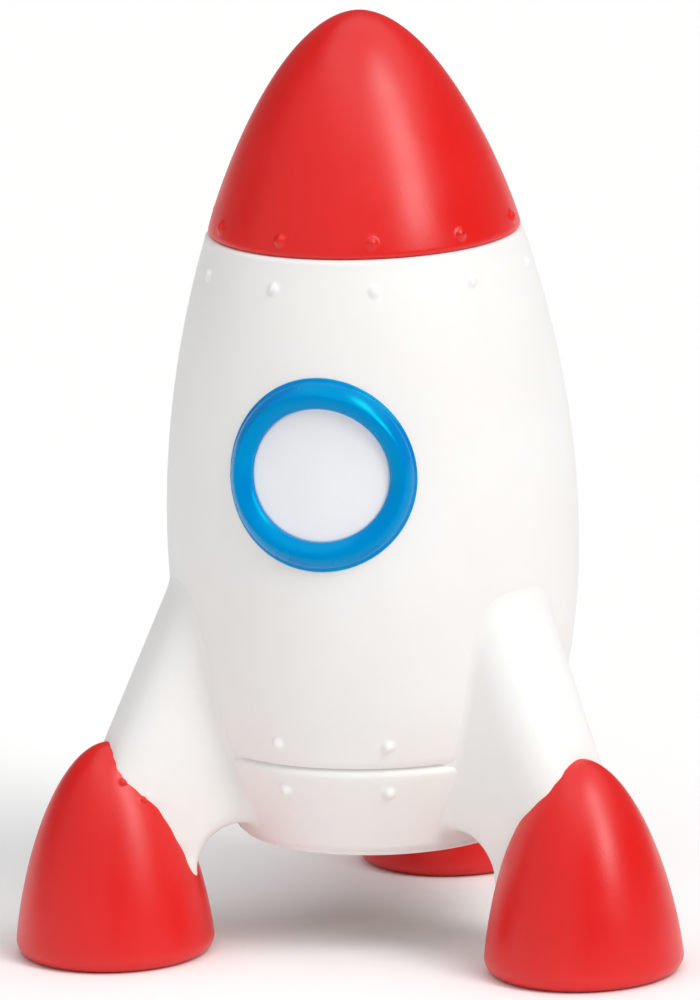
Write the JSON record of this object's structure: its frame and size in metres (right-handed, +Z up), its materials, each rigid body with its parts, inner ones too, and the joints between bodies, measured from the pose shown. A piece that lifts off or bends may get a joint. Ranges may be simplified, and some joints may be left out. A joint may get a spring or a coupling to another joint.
{
  "type": "toy rocket night light",
  "caption": "Soft-vinyl toy rocket night light: bullet-shaped hull with a red nose, blue porthole and fins on red boots, over a battery light base plugged into its tail.",
  "frame": {"origin": "on the floor, at the centre of the whole object's plan box; the rocket's own axis stands at y = -0.01006", "axes": "+Z up along the rocket's axis from floor to nose, -Y towards the porthole, +X to the right as seen from the porthole's side"},
  "size_m": [0.0984, 0.089, 0.135],
  "materials": {
    "red_vinyl": "matte",
    "white_vinyl": "matte",
    "blue_vinyl": "gloss",
    "window_vinyl": "matte",
    "base_plastic": "satin",
    "screw_steel": "plated",
    "cell_steel": "polished",
    "contact_brass": "sprung strip",
    "board_laminate": "satin",
    "black_plastic": "satin",
    "clear_resin": "clear",
    "resistor_ceramic": "satin",
    "diffuser_plastic": "frosted"
  },
  "bodies": {
    "rocket": {"nose_cone": "red_vinyl", "boot_left": "red_vinyl", "boot_right": "red_vinyl", "boot_rear": "red_vinyl", "body_shell": "white_vinyl", "tail_band": "white_vinyl", "fin_left": "white_vinyl", "fin_right": "white_vinyl", "fin_rear": "white_vinyl", "porthole_ring": "blue_vinyl", "porthole_window": "window_vinyl", "light_base": "base_plastic", "board_screw_1": "screw_steel", "board_screw_2": "screw_steel", "button_cell_1": "cell_steel", "button_cell_2": "cell_steel", "button_cell_3": "cell_steel", "contact_leaf": "contact_brass", "contact_plate": "contact_brass", "circuit_board": "board_laminate", "switch_body": "black_plastic", "led": "clear_resin", "resistor": "resistor_ceramic", "diffuser_cap": "diffuser_plastic"},
    "switch_knob": {"switch_knob": "black_plastic"},
    "battery_door": {"battery_door": "base_plastic"},
    "door_screw": {"door_screw": "screw_steel"}
  },
  "joints": [
    {"name": "switch_slide", "type": "slide", "parent": "rocket", "child": "switch_knob", "axis": [1, 0, 0], "range_m": [0, 0.0025]},
    {"name": "door_pull", "type": "slide", "parent": "rocket", "child": "battery_door", "axis": [0, 0, -1], "range_m": [0, 0.012]},
    {"name": "screw_turn", "type": "hinge", "parent": "battery_door", "child": "door_screw", "pos_m": [0.0109, -0.01006, 0.017], "axis": [0, 0, 1], "continuous": true}
  ]
}
